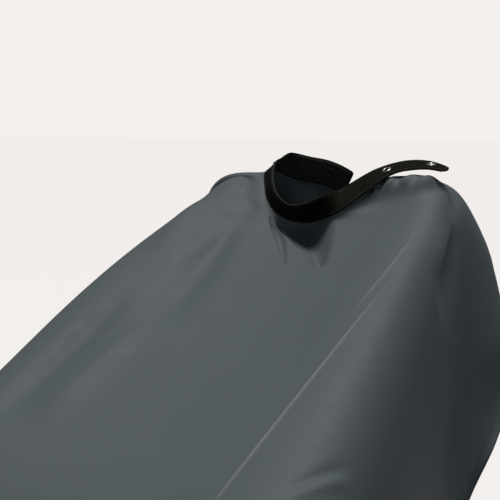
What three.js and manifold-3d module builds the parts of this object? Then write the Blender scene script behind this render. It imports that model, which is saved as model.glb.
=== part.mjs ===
// A barber's cape draped over a salon chair: one coated-nylon panel with a neck hole and an open back,
// and a stiff three-layer neckband that ends in a free closure tab with ring snaps.
// Millimetres, +Z up. The front of the cape looks towards -Y. The origin is the middle of the front top
// edge of the chair back that the cape hangs on.
import * as THREE from 'three';
import { mergeVertices } from 'three/addons/utils/BufferGeometryUtils.js';
import Module from 'manifold-3d';

// ---- Driving dimensions -------------------------------------------------------------------------
// The panel as it is cut, lying flat. The neck hole's radius follows from the length of the neck seam.
const CUT_WIDTH = 1400;
const CUT_FRONT = 1130; // neck hole's centre to the front hem
const CUT_BACK = 380; // neck hole's centre to the back hem
const CUT_CORNER = 160; // radius of the four corners
const PANEL_THICKNESS = 3; // the fabric with its folds and air, as one collision shell

// What the cape lies over: a chair back with two arms in front of it.
const BACKREST_HALF = 209;
const BACKREST_DEPTH = 90;
const BACKREST_DIP = 7; // middle of its padded top, below the origin
const LEFT_SHOULDER_RISE = 9; // how far the top rises under each shoulder of the cape
const RIGHT_SHOULDER_RISE = 4;
const SHOULDER_AT = 155;
const SHOULDER_HALF = 75;
const ARM_HALF = 281;
const ARM_REACH = 610; // front ends of the arms, ahead of the chair back
const ARM_DROP = 322; // their height below its top
const SAG = 38; // how far the cloth sinks between the chair back and the arms
const SAG_HALF = 190;
const EDGE_ROUND = 35;

// The neckband.
const BAND_WIDTH = 38;
const LAYER_GAP = 0.3;
const LINING_THICKNESS = 0.8;
const INTERLINING_THICKNESS = 0.6;
const OUTER_THICKNESS = 0.8;
const SEAM_GAP = 3; // panel's edge to the band's lower edge, across the panel's own thickness
const TAB_GAP = 0.6; // band's end to the tab, at the fold

// The snaps: two rings with sockets on the tab, and three studs at the band's other end.
const SNAP_PITCH = 58;
const TAB_FIRST_SNAP = 16; // fold to the first socket
const STUD_FIRST = 30; // band's left end to the first stud
const SOCKET_COUNT = 2;
const STUD_COUNT = 3;
const RING_OUTER = 6.5;
const RING_INNER = 4;
const RING_HEIGHT = 1;
const PRONG_COUNT = 5;
const PRONG_RADIUS = 5.3; // prongs' pitch circle
const PRONG_SIDE = 0.7;
const PRONG_CLEARANCE = 0.3;
const FLANGE_RADIUS = 5.5;
const FLANGE_THICKNESS = 0.6;
const SEAT_AIR = 0.2; // under a snap's flat piece, above the highest point of the band's curved face
const STUD_NECK = 1.4;
const STUD_HEAD = 1.8;
const STUD_HEIGHT = 2.2;
const SOCKET_WALL = 0.6;
const SOCKET_HEIGHT = 2.6;
const SPRING_WIRE = 0.35;
const SPRING_CLEARANCE = 0.3;

// The neck seam as it lies on the chair, from the back slit's left edge round the front to its right
// edge, then on as the lower edge of the free tab. Each point has the step from there to the band's upper
// edge, which is shorter than the band's width where the band curls.
const BAND_ROUTE = [
  [[-8, 114, -36], [17, 0, 34]],
  [[-24, 111, -27], [15, -1, 35]],
  [[-42, 108, -20], [11, -1, 36]],
  [[-65, 104, -16], [6, -1, 37]],
  [[-88, 97, -11], [11, 3, 36]],
  [[-104, 76, 1], [22, 8, 26]],
  [[-105, 46, -1], [28, 0, 22]],
  [[-87, 10, -18], [16, 2, 34]],
  [[-69, -16, -36], [16, -14, 31]],
  [[-46, -36, -50], [15, -23, 26]],
  [[-16, -50, -60], [12, -26, 24]],
  [[18, -60, -60], [7, -24, 28]],
  [[50, -60, -50], [-6, -2, 29]],
  [[70, -53, -38], [-19, 22, 21]],
  [[88, -40, -22], [-20, 27, 18]],
  [[105, -26, -6], [-18, 30, 15]],
  [[124, -11, 7], [-15, 33, 11]],
  [[141, -5, 11], [-10, 35, 11]],
  [[166, -3, 13], [-9, 36, 8]],
  [[191, -3, 10], [-6, 37, 3]],
];
const ROUTE_BAND_WIDTH = 38; // the band's width that the steps were chosen for
const FOLD_AT = 15; // the route's point where the seam ends and the tab begins

// How finely the solids are made.
const PANEL_COLUMNS = 64;
const PANEL_ROWS = 18;
const BAND_STEP = 11;
const ROUND_SIDES = 20;

// ---- Materials ----------------------------------------------------------------------------------
const nylon = new THREE.MeshStandardMaterial({ color: 0x4c5353, roughness: 0.55, metalness: 0 });
const leatherette = new THREE.MeshStandardMaterial({ color: 0x1c1b16, roughness: 0.5, metalness: 0 });
const stiffener = new THREE.MeshStandardMaterial({ color: 0x3a3a38, roughness: 0.9, metalness: 0 });
const liningCloth = new THREE.MeshStandardMaterial({ color: 0x0c0c0c, roughness: 0.8, metalness: 0 });
const nickel = new THREE.MeshStandardMaterial({ color: 0xb9b8b2, roughness: 0.25, metalness: 1 });
const blackEnamel = new THREE.MeshStandardMaterial({ color: 0x151515, roughness: 0.35, metalness: 0.6 });
const springSteel = new THREE.MeshStandardMaterial({ color: 0x9a9a98, roughness: 0.3, metalness: 1 });

const group = new THREE.Group();
const wasm = await Module();
wasm.setup();

function addMesh(name, geometry, material) {
  const mesh = new THREE.Mesh(geometry, material);
  mesh.name = name;
  group.add(mesh);
  return mesh;
}

// ---- Solids for cutting and joining ---------------------------------------------------------------
function toSolid(geometry) {
  const bare = geometry.clone();
  bare.deleteAttribute('normal');
  bare.deleteAttribute('uv');
  const merged = mergeVertices(bare, 1e-4);
  return new wasm.Manifold(new wasm.Mesh({
    numProp: 3,
    vertProperties: merged.attributes.position.array,
    triVerts: new Uint32Array(merged.index.array),
  }));
}

function toGeometry(solid) {
  const mesh = solid.getMesh();
  const geometry = new THREE.BufferGeometry();
  geometry.setAttribute('position', new THREE.BufferAttribute(new Float32Array(mesh.vertProperties), 3));
  geometry.setIndex(new THREE.BufferAttribute(new Uint32Array(mesh.triVerts), 1));
  geometry.computeVertexNormals();
  return geometry;
}

// ---- The band's route -------------------------------------------------------------------------------
const lowerCurve = new THREE.CatmullRomCurve3(BAND_ROUTE.map(([at]) => new THREE.Vector3(...at)));
const upperCurve = new THREE.CatmullRomCurve3(BAND_ROUTE.map(([at, lean]) =>
  new THREE.Vector3(...at).addScaledVector(new THREE.Vector3(...lean), BAND_WIDTH / ROUTE_BAND_WIDTH)));
const ROUTE_SAMPLES = 40 * (BAND_ROUTE.length - 1);

const routeLengths = [0];
for (let k = 1; k <= ROUTE_SAMPLES; k++) {
  const here = lowerCurve.getPoint(k / ROUTE_SAMPLES);
  const before = lowerCurve.getPoint((k - 1) / ROUTE_SAMPLES);
  routeLengths.push(routeLengths[k - 1] + here.distanceTo(before));
}
const routeLength = routeLengths[ROUTE_SAMPLES];
const seamLength = routeLengths[Math.round((ROUTE_SAMPLES * FOLD_AT) / (BAND_ROUTE.length - 1))];
const neckRadius = seamLength / (2 * Math.PI);

function routeParameter(distance) {
  let k = 1;
  while (k < ROUTE_SAMPLES && routeLengths[k] < distance) k++;
  const part = (distance - routeLengths[k - 1]) / (routeLengths[k] - routeLengths[k - 1]);
  return THREE.MathUtils.clamp((k - 1 + part) / ROUTE_SAMPLES, 0, 1);
}

// The band's frame at a distance along the seam: a point, the way up the band and the way out of its
// outer face.
function bandFrame(distance) {
  const t = routeParameter(distance);
  const point = lowerCurve.getPoint(t);
  const up = upperCurve.getPoint(t).sub(point);
  const width = up.length();
  up.normalize();
  const along = lowerCurve.getTangent(t);
  const out = new THREE.Vector3().crossVectors(along, up).normalize();
  return { point, up, width, out, along: new THREE.Vector3().crossVectors(up, out) };
}

// ---- The neckband's thickness, centred on its route ---------------------------------------------
const totalThickness = LINING_THICKNESS + INTERLINING_THICKNESS + OUTER_THICKNESS + 2 * LAYER_GAP;
const innerFace = -totalThickness / 2;
const outerFace = totalThickness / 2;

// ---- Where the snaps sit ------------------------------------------------------------------------------
const bandStrip = { from: 0, to: seamLength - TAB_GAP / 2 };
const tabStrip = { from: seamLength + TAB_GAP / 2, to: routeLength };
const studDistances = Array.from({ length: STUD_COUNT }, (_, k) => STUD_FIRST + k * SNAP_PITCH);
const socketDistances = Array.from(
  { length: SOCKET_COUNT }, (_, k) => tabStrip.from + TAB_FIRST_SNAP + k * SNAP_PITCH);

const stripSteps = ({ from, to }) => Math.max(2, Math.round((to - from) / BAND_STEP));

// A matrix that stands a snap's axis (+Z) out of the band at a distance along the seam.
function snapPlace(distance, depth, flip) {
  const { point, up, width, out, along } = bandFrame(distance);
  const axis = flip ? out.clone().negate() : out;
  const side = flip ? along.clone().negate() : along;
  const middle = point.clone()
    .addScaledVector(up, (SEAM_GAP + width) / 2)
    .addScaledVector(out, depth);
  return new THREE.Matrix4().makeBasis(side, up.clone(), axis).setPosition(middle);
}

// How far off its place a flat piece of this radius sits, to clear the face that the strip makes there.
function seatOf(strip, depth, place, radius) {
  const steps = stripSteps(strip);
  const toSnap = place.clone().invert();
  const samples = 30;
  let rise = 0;
  let before;
  for (let k = 0; k <= steps; k++) {
    const { point, up, width, out } = bandFrame(THREE.MathUtils.lerp(strip.from, strip.to, k / steps));
    point.addScaledVector(out, depth);
    const section = [SEAM_GAP, width].map((reach) =>
      point.clone().addScaledVector(up, reach).applyMatrix4(toSnap));
    if (before) {
      for (let i = 0; i <= samples; i++) {
        for (let j = 0; j <= samples; j++) {
          const u = i / samples;
          const v = j / samples;
          const [start, ahead, corner] = v <= u
            ? [before[0], section[0], section[1]]
            : [before[0], before[1], section[1]];
          const first = Math.max(u, v);
          const second = Math.min(u, v);
          const at = start.clone().lerp(ahead, first).addScaledVector(corner.clone().sub(ahead), second);
          if (Math.hypot(at.x, at.y) <= radius) rise = Math.max(rise, at.z);
        }
      }
    }
    before = section;
  }
  return rise + SEAT_AIR;
}

const outsideSeat = (strip, distance, radius) =>
  seatOf(strip, outerFace, snapPlace(distance, outerFace, false), radius);
const insideSeat = (strip, distance, radius) =>
  seatOf(strip, innerFace, snapPlace(distance, innerFace, true), radius);
const studSeats = studDistances.map((distance) => ({
  outside: outsideSeat(bandStrip, distance, FLANGE_RADIUS),
  inside: insideSeat(bandStrip, distance, RING_OUTER),
}));
const socketSeats = socketDistances.map((distance) => ({
  outside: outsideSeat(tabStrip, distance, RING_OUTER),
  inside: insideSeat(tabStrip, distance, FLANGE_RADIUS),
}));
const socketReach = SOCKET_HEIGHT + Math.max(...socketSeats.map((seat) => seat.inside));

// ---- The chair form that the panel lies on --------------------------------------------------------
function formHalfWidth(y) {
  const forward = THREE.MathUtils.clamp(-y / ARM_REACH, 0, 1);
  return THREE.MathUtils.lerp(BACKREST_HALF, ARM_HALF, forward);
}

function formHeight(x, y) {
  if (y >= 0) {
    const fromShoulder = (Math.abs(x) - SHOULDER_AT) / SHOULDER_HALF;
    const rise = x < 0 ? LEFT_SHOULDER_RISE : RIGHT_SHOULDER_RISE;
    return rise * Math.max(0, 1 - fromShoulder ** 2) - BACKREST_DIP;
  }
  const forward = -y / ARM_REACH;
  const trough = SAG * Math.max(0, 1 - (x / SAG_HALF) ** 2) * (1 - 0.6 * forward);
  return -ARM_DROP * forward - trough;
}

// How far inside the form's outline a point of the plan lies, and the way out.
function formEdge(x, y) {
  const side = formHalfWidth(y) - Math.abs(x);
  const back = BACKREST_DEPTH - y;
  const front = ARM_REACH + y;
  if (side <= back && side <= front) return { depth: side, x: Math.sign(x), y: 0 };
  if (back <= front) return { depth: back, x: 0, y: 1 };
  return { depth: front, x: 0, y: -1 };
}

function pushOffForm(point, clearance) {
  const edge = formEdge(point.x, point.y);
  const depth = edge.depth + clearance;
  if (depth <= 0) return false;
  const corner = EDGE_ROUND + clearance;
  let top = formHeight(point.x, point.y) + clearance;
  if (depth < corner) top -= corner - Math.sqrt(corner ** 2 - (corner - depth) ** 2);
  const sink = top - point.z;
  if (sink <= 0) return false;
  if (sink < depth) {
    point.z += sink;
  } else {
    point.x += edge.x * depth;
    point.y += edge.y * depth;
  }
  return true;
}

// ---- The panel ------------------------------------------------------------------------------------
const TURN = -14; // degrees that the cape lies askew on the chair
const RIGHT_SPREAD = 155; // from the front round to the back slit's right edge, which lies open
const LEFT_SPREAD = 172; // from the front round to its left edge
const ROW_GROWTH = 1.25;
const START_LIFT = 30;
const SETTLE_STEPS = 700;
const START_BLEND = 120; // from the seam's own height to the start's
const SOLVER_PASSES = 12;
const GRAVITY_STEP = 1;
const VELOCITY_KEPT = 0.96;
const GRIP_KEPT = 0.5;
const SHEAR_STRENGTH = 0.6;
const BEND_STRENGTH = 0.25;
const BAND_ROWS = 5; // rows that the standing band keeps outside itself
const BAND_CLEAR = totalThickness / 2 + PANEL_THICKNESS / 2 + 1.5;
const BAND_MARGIN = 5;
const BAND_SPLAY = 0.5; // how steeply the cloth leaves the band
const LYING_SHARE = 0.86; // of the seam, after which the band lies on the cloth
const UNDER_SHARE = 0.78; // of the seam, after which cloth inside the neck stays under the band
const TAB_FRAME_STEP = 7;
const TAB_CATCH = 25;
const GATHER_ROWS = 9; // near the neck the cloth gathers instead of buckling

// The flat outline, a rounded rectangle, walked from the back slit's left edge round to its right edge.
function cutOutline() {
  const half = CUT_WIDTH / 2;
  const outline = new THREE.Path();
  outline.moveTo(0, CUT_BACK);
  outline.lineTo(CUT_CORNER - half, CUT_BACK);
  outline.absarc(CUT_CORNER - half, CUT_BACK - CUT_CORNER, CUT_CORNER, Math.PI / 2, Math.PI);
  outline.absarc(CUT_CORNER - half, CUT_CORNER - CUT_FRONT, CUT_CORNER, Math.PI, 1.5 * Math.PI);
  outline.absarc(half - CUT_CORNER, CUT_CORNER - CUT_FRONT, CUT_CORNER, 1.5 * Math.PI, 2 * Math.PI);
  outline.absarc(half - CUT_CORNER, CUT_BACK - CUT_CORNER, CUT_CORNER, 0, Math.PI / 2);
  outline.lineTo(0, CUT_BACK);
  return outline.getSpacedPoints(PANEL_COLUMNS);
}

const indexOf = (column, row) => row * (PANEL_COLUMNS + 1) + column;

function flatPanel() {
  const rim = cutOutline();
  const flat = [];
  for (let row = 0; row <= PANEL_ROWS; row++) {
    const share = (row / PANEL_ROWS) ** ROW_GROWTH;
    for (let column = 0; column <= PANEL_COLUMNS; column++) {
      const end = rim[column];
      const neck = end.clone().normalize().multiplyScalar(neckRadius);
      flat.push(neck.lerp(end, share));
    }
  }
  return flat;
}

// Distance along the neck seam of a point of the neck hole's rim.
function seamDistance(flat, column) {
  if (column === 0) return 0;
  if (column === PANEL_COLUMNS) return seamLength;
  return ((Math.atan2(flat.x, -flat.y) + Math.PI) / (2 * Math.PI)) * seamLength;
}

// The way a column of the panel runs out from the seam, seen from above.
function columnHeading(distance) {
  const turned = (distance / seamLength - 0.5) * 2;
  const spread = turned < 0 ? LEFT_SPREAD : RIGHT_SPREAD;
  const angle = THREE.MathUtils.degToRad(TURN + turned * spread);
  return new THREE.Vector3(Math.sin(angle), -Math.cos(angle), 0);
}

function startPanel(flat) {
  const slope = ARM_DROP / ARM_REACH;
  return flat.map((at, k) => {
    const column = k % (PANEL_COLUMNS + 1);
    const distance = seamDistance(flat[column], column);
    const { point } = bandFrame(distance);
    if (k <= PANEL_COLUMNS) return point;
    const run = at.length() - neckRadius;
    const seamHeight = point.z;
    point.addScaledVector(columnHeading(distance), run);
    const height = START_LIFT + slope * Math.min(0, point.y);
    point.z = THREE.MathUtils.lerp(seamHeight, height, THREE.MathUtils.smoothstep(run, 0, START_BLEND));
    return point;
  });
}

// Keeps a point next to the seam outside the standing band, and one near the tab under it.
function pushOffBand(point, { point: seam, up, out, width }) {
  const from = point.clone().sub(seam);
  const rise = from.dot(up);
  if (rise < 0 || rise > width + BAND_MARGIN) return;
  const clear = BAND_CLEAR + BAND_SPLAY * rise;
  const depth = from.dot(out);
  if (depth < clear) point.addScaledVector(out, clear - depth);
}

// Where the band lies on the cloth, the cloth turns under it straight from the seam.
function turnUnder(point, { point: seam, up, out }) {
  const from = point.clone().sub(seam);
  point.addScaledVector(up, Math.min(0, -BAND_MARGIN - from.dot(up)));
  point.addScaledVector(out, Math.min(0, -BAND_CLEAR - from.dot(out)));
}

function pushUnderTab(point, frames) {
  for (const { point: seam, up, out, along, width, clear, catchDepth } of frames) {
    const from = point.clone().sub(seam);
    if (Math.abs(from.dot(along)) > TAB_FRAME_STEP) continue;
    const rise = from.dot(up);
    const depth = from.dot(out);
    if (rise < -BAND_MARGIN || rise > width + BAND_MARGIN || depth > catchDepth) continue;
    if (depth > -clear) point.addScaledVector(out, -clear - depth);
  }
}

function drapePanel() {
  const flat = flatPanel();
  const points = startPanel(flat);
  const links = [];
  const link = (a, b, strength, push = 1) => {
    links.push({ a, b, rest: flat[a].distanceTo(flat[b]), pull: strength, push: strength * push });
  };
  for (let row = 0; row <= PANEL_ROWS; row++) {
    for (let column = 0; column <= PANEL_COLUMNS; column++) {
      const here = indexOf(column, row);
      const right = column < PANEL_COLUMNS;
      const down = row < PANEL_ROWS;
      const push = THREE.MathUtils.smoothstep(row, 0, GATHER_ROWS);
      if (right) link(here, indexOf(column + 1, row), 1, push);
      if (down) link(here, indexOf(column, row + 1), 1);
      if (right && down) {
        link(here, indexOf(column + 1, row + 1), SHEAR_STRENGTH, push);
        link(indexOf(column + 1, row), indexOf(column, row + 1), SHEAR_STRENGTH, push);
      }
      if (column < PANEL_COLUMNS - 1) link(here, indexOf(column + 2, row), BEND_STRENGTH, push);
      if (row < PANEL_ROWS - 1) link(here, indexOf(column, row + 2), BEND_STRENGTH);
    }
  }
  const columnFrames = [];
  for (let column = 0; column <= PANEL_COLUMNS; column++) {
    columnFrames.push(bandFrame(seamDistance(flat[column], column)));
  }
  const lyingFrom = LYING_SHARE * seamLength;
  const lyingFrames = [];
  for (let distance = UNDER_SHARE * seamLength; distance < routeLength; distance += TAB_FRAME_STEP) {
    const onTab = distance > seamLength - TAB_FRAME_STEP;
    const clear = BAND_CLEAR + (onTab ? socketReach : 0);
    lyingFrames.push({ ...bandFrame(distance), clear, catchDepth: onTab ? TAB_CATCH : 0 });
  }
  const before = points.map((point) => point.clone());
  const clearance = PANEL_THICKNESS / 2 + 1;
  const apart = new THREE.Vector3();
  for (let step = 0; step < SETTLE_STEPS; step++) {
    points.forEach((point, k) => {
      if (k <= PANEL_COLUMNS) return;
      const move = point.clone().sub(before[k]).multiplyScalar(VELOCITY_KEPT);
      before[k].copy(point);
      point.add(move);
      point.z -= GRAVITY_STEP;
    });
    for (let pass = 0; pass < SOLVER_PASSES; pass++) {
      for (const { a, b, rest, pull, push } of links) {
        apart.subVectors(points[b], points[a]);
        const length = apart.length();
        const weightA = a > PANEL_COLUMNS ? 1 : 0;
        const weightB = b > PANEL_COLUMNS ? 1 : 0;
        if (weightA + weightB === 0) continue;
        const strength = length > rest ? pull : push;
        apart.multiplyScalar((strength * (length - rest)) / (length * (weightA + weightB)));
        if (weightA) points[a].add(apart);
        if (weightB) points[b].sub(apart);
      }
    }
    for (let k = PANEL_COLUMNS + 1; k < points.length; k++) {
      const column = k % (PANEL_COLUMNS + 1);
      const row = (k - column) / (PANEL_COLUMNS + 1);
      const lying = seamDistance(flat[column], column) > lyingFrom;
      if (row <= BAND_ROWS && !lying) pushOffBand(points[k], columnFrames[column]);
      if (row === 1 && lying) turnUnder(points[k], columnFrames[column]);
      pushUnderTab(points[k], lyingFrames);
      if (pushOffForm(points[k], clearance)) before[k].lerp(points[k], 1 - GRIP_KEPT);
    }
  }
  return points;
}

// The draped sheet as a closed shell of even thickness.
function shellOf(points) {
  const width = PANEL_COLUMNS + 1;
  const normals = points.map(() => new THREE.Vector3());
  const faces = [];
  for (let row = 0; row < PANEL_ROWS; row++) {
    for (let column = 0; column < PANEL_COLUMNS; column++) {
      const a = indexOf(column, row);
      const b = indexOf(column + 1, row);
      const c = indexOf(column + 1, row + 1);
      const d = indexOf(column, row + 1);
      faces.push([a, d, c], [a, c, b]);
    }
  }
  for (const [a, b, c] of faces) {
    const side = points[b].clone().sub(points[a]);
    const normal = side.cross(points[c].clone().sub(points[a]));
    for (const k of [a, b, c]) normals[k].add(normal);
  }
  const count = points.length;
  const positions = [];
  for (const way of [1, -1]) {
    points.forEach((point, k) => {
      const offset = normals[k].clone().normalize().multiplyScalar((way * PANEL_THICKNESS) / 2);
      positions.push(...point.clone().add(offset).toArray());
    });
  }
  const index = [];
  for (const [a, b, c] of faces) index.push(a, b, c, a + count, c + count, b + count);
  const rim = [];
  for (let row = 0; row < PANEL_ROWS; row++) rim.push(indexOf(0, row));
  for (let column = 0; column < PANEL_COLUMNS; column++) rim.push(indexOf(column, PANEL_ROWS));
  for (let row = PANEL_ROWS; row > 0; row--) rim.push(indexOf(PANEL_COLUMNS, row));
  for (let column = PANEL_COLUMNS; column > 0; column--) rim.push(indexOf(column, 0));
  rim.forEach((a, k) => {
    const b = rim[(k + 1) % rim.length];
    index.push(a, a + count, b + count, a, b + count, b);
  });
  const geometry = new THREE.BufferGeometry();
  geometry.setAttribute('position', new THREE.Float32BufferAttribute(positions, 3));
  geometry.setIndex(index);
  geometry.computeVertexNormals();
  return geometry;
}

// ---- The neckband's layers --------------------------------------------------------------------------
// A strip of the band or tab, from one depth to another through it.
function stripGeometry(strip, inner, outer) {
  const steps = stripSteps(strip);
  const positions = [];
  for (let k = 0; k <= steps; k++) {
    const { point, up, width, out } = bandFrame(THREE.MathUtils.lerp(strip.from, strip.to, k / steps));
    const section = [[SEAM_GAP, inner], [width, inner], [width, outer], [SEAM_GAP, outer]];
    for (const [rise, depth] of section) {
      const corner = point.clone().addScaledVector(up, rise).addScaledVector(out, depth);
      positions.push(...corner.toArray());
    }
  }
  const index = [];
  for (let k = 0; k < steps; k++) {
    for (let corner = 0; corner < 4; corner++) {
      const next = (corner + 1) % 4;
      const a = 4 * k + corner;
      const b = 4 * k + next;
      if (corner === 2) index.push(a, b, a + 4, b, b + 4, a + 4);
      else index.push(a, b + 4, a + 4, a, b, b + 4);
    }
  }
  index.push(0, 2, 1, 0, 3, 2);
  const last = 4 * steps;
  index.push(last, last + 1, last + 2, last, last + 2, last + 3);
  const geometry = new THREE.BufferGeometry();
  geometry.setAttribute('position', new THREE.Float32BufferAttribute(positions, 3));
  geometry.setIndex(index);
  return geometry;
}

const LAYERS = [
  { name: 'lining', from: innerFace, thickness: LINING_THICKNESS, material: liningCloth },
  {
    name: 'interlining',
    from: innerFace + LINING_THICKNESS + LAYER_GAP,
    thickness: INTERLINING_THICKNESS,
    material: stiffener,
  },
  { name: 'outer', from: outerFace - OUTER_THICKNESS, thickness: OUTER_THICKNESS, material: leatherette },
];

function prongs(side, from, to) {
  const boxes = [];
  for (let k = 0; k < PRONG_COUNT; k++) {
    const angle = (2 * Math.PI * k) / PRONG_COUNT;
    const box = new THREE.BoxGeometry(side, side, to - from);
    box.translate(PRONG_RADIUS, 0, (from + to) / 2);
    box.rotateZ(angle);
    boxes.push(box);
  }
  return boxes;
}

function cutForSnaps(geometry, distances, flip) {
  let solid = toSolid(geometry);
  for (const distance of distances) {
    const reach = totalThickness + 2;
    for (const box of prongs(PRONG_SIDE + 2 * PRONG_CLEARANCE, -reach, reach)) {
      solid = solid.subtract(toSolid(box.applyMatrix4(snapPlace(distance, 0, flip))));
    }
  }
  return toGeometry(solid);
}

// ---- The snaps' metal pieces ------------------------------------------------------------------------
const lathe = (profile) =>
  new THREE.LatheGeometry(profile.map(([r, z]) => new THREE.Vector2(r, z)), ROUND_SIDES)
    .rotateX(Math.PI / 2);

// A ring with its prongs pointing down through the band; z = 0 is the band's face.
function prongRing(seat, farSeat) {
  const bevel = 0.35;
  let solid = toSolid(lathe([
    [RING_INNER, seat], [RING_OUTER, seat], [RING_OUTER, seat + RING_HEIGHT - bevel],
    [RING_OUTER - bevel, seat + RING_HEIGHT], [RING_INNER + bevel, seat + RING_HEIGHT],
    [RING_INNER, seat + RING_HEIGHT - bevel], [RING_INNER, seat],
  ]));
  const reach = totalThickness + farSeat - LAYER_GAP;
  for (const box of prongs(PRONG_SIDE, -reach, seat + RING_HEIGHT / 2)) solid = solid.add(toSolid(box));
  return toGeometry(solid);
}

// A stud on its flange; z = 0 is the band's face.
function stud(base) {
  const top = base + FLANGE_THICKNESS;
  return lathe([
    [0, base], [FLANGE_RADIUS, base], [FLANGE_RADIUS, top], [STUD_NECK, top],
    [STUD_HEAD, top + STUD_HEIGHT * 0.55], [STUD_HEAD * 0.75, top + STUD_HEIGHT],
    [0, top + STUD_HEIGHT],
  ]);
}

const socketBore = STUD_HEAD + SPRING_CLEARANCE + 2 * SPRING_WIRE + SPRING_CLEARANCE;

function socket(base) {
  const top = base + FLANGE_THICKNESS;
  const lip = STUD_HEAD + SPRING_CLEARANCE;
  return lathe([
    [0, base], [FLANGE_RADIUS, base], [FLANGE_RADIUS, top], [socketBore + SOCKET_WALL, top],
    [socketBore + SOCKET_WALL, base + SOCKET_HEIGHT], [lip, base + SOCKET_HEIGHT],
    [lip, base + SOCKET_HEIGHT - SOCKET_WALL], [socketBore, base + SOCKET_HEIGHT - SOCKET_WALL],
    [socketBore, top], [0, top],
  ]);
}

function socketSpring(base) {
  const level = base + (FLANGE_THICKNESS + SOCKET_HEIGHT - SOCKET_WALL) / 2;
  const ring = new THREE.TorusGeometry(socketBore - SPRING_CLEARANCE - SPRING_WIRE, SPRING_WIRE, 6,
    ROUND_SIDES);
  return ring.translate(0, 0, level);
}

// ---- Assembly ---------------------------------------------------------------------------------------
addMesh('cape_panel', shellOf(drapePanel()), nylon);

for (const { name, from, thickness, material } of LAYERS) {
  const band = stripGeometry(bandStrip, from, from + thickness);
  addMesh(`neckband_${name}`, cutForSnaps(band, studDistances, true), material);
  const tab = stripGeometry(tabStrip, from, from + thickness);
  addMesh(`tab_${name}`, cutForSnaps(tab, socketDistances, false), material);
}

studDistances.forEach((distance, k) => {
  const outside = snapPlace(distance, outerFace, false);
  const inside = snapPlace(distance, innerFace, true);
  const seat = studSeats[k];
  addMesh(`stud_${k + 1}`, stud(seat.outside).applyMatrix4(outside), nickel);
  const ring = prongRing(seat.inside, seat.outside);
  addMesh(`stud_ring_${k + 1}`, ring.applyMatrix4(inside), blackEnamel);
});

socketDistances.forEach((distance, k) => {
  const outside = snapPlace(distance, outerFace, false);
  const inside = snapPlace(distance, innerFace, true);
  const seat = socketSeats[k];
  const ring = prongRing(seat.outside, seat.inside);
  addMesh(`tab_ring_${k + 1}`, ring.applyMatrix4(outside), nickel);
  addMesh(`socket_${k + 1}`, socket(seat.inside).applyMatrix4(inside), nickel);
  addMesh(`socket_spring_${k + 1}`, socketSpring(seat.inside).applyMatrix4(inside), springSteel);
});

export default group;
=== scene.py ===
"""A barber's cape draped over a salon chair: one coated-nylon panel, settled by a cloth simulation, and a
stiff leatherette neckband that ends in a free closure tab with ring snaps.

Lengths are millimetres, apart from those in meshes and materials, which are metres. +Z is up, the front
of the cape looks towards -Y, and the origin is the middle of the front top edge of the chair back that
holds the cape up.
"""

import math

import bmesh
import bpy
import numpy as np
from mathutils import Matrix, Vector


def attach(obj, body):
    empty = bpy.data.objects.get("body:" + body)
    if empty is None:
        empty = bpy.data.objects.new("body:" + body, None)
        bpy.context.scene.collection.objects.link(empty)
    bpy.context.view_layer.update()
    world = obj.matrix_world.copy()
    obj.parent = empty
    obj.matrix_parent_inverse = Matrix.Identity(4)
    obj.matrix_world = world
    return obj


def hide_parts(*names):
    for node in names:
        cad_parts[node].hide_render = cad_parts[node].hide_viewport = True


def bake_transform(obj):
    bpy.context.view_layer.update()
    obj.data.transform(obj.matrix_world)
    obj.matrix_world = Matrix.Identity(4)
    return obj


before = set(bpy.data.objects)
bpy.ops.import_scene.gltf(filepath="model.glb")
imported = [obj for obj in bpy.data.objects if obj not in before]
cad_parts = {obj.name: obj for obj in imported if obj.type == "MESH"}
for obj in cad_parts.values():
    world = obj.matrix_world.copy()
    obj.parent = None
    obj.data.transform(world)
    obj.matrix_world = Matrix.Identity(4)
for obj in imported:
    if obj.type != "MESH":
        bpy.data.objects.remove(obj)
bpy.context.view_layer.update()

MM = 0.001

# ---- The panel as it is cut ----
CUT_WIDTH = 1400
CUT_FRONT = 1130  # neck hole's centre to the front hem
CUT_BACK = 380  # neck hole's centre to the back hem
CUT_CORNER = 160
CORNER_STEPS = 64
CLOTH_THICKNESS = 0.6
HEM_WIDTH = 18

# ---- What the cape lies over ----
BACKREST_HALF = 209
BACKREST_DEPTH = 90
BACKREST_DIP = 7
LEFT_SHOULDER_RISE = 9
RIGHT_SHOULDER_RISE = 4
SHOULDER_AT = 155
SHOULDER_HALF = 75
ARM_HALF = 281
ARM_REACH = 610
ARM_DROP = 322
SAG = 38
SAG_HALF = 190
SAG_EASE = 0.6  # share of the sag that is gone at the arms' front ends
EDGE_ROUND = 35

# ---- The neckband ----
BAND_WIDTH = 38
BAND_THICKNESS = 2.8
SEAM_GAP = 3
SNAP_PITCH = 58
TAB_FIRST_SNAP = 16.3  # fold to the first socket
STUD_FIRST = 30  # band's left end to the first stud
STUD_COUNT = 3
SOCKET_COUNT = 2

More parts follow.
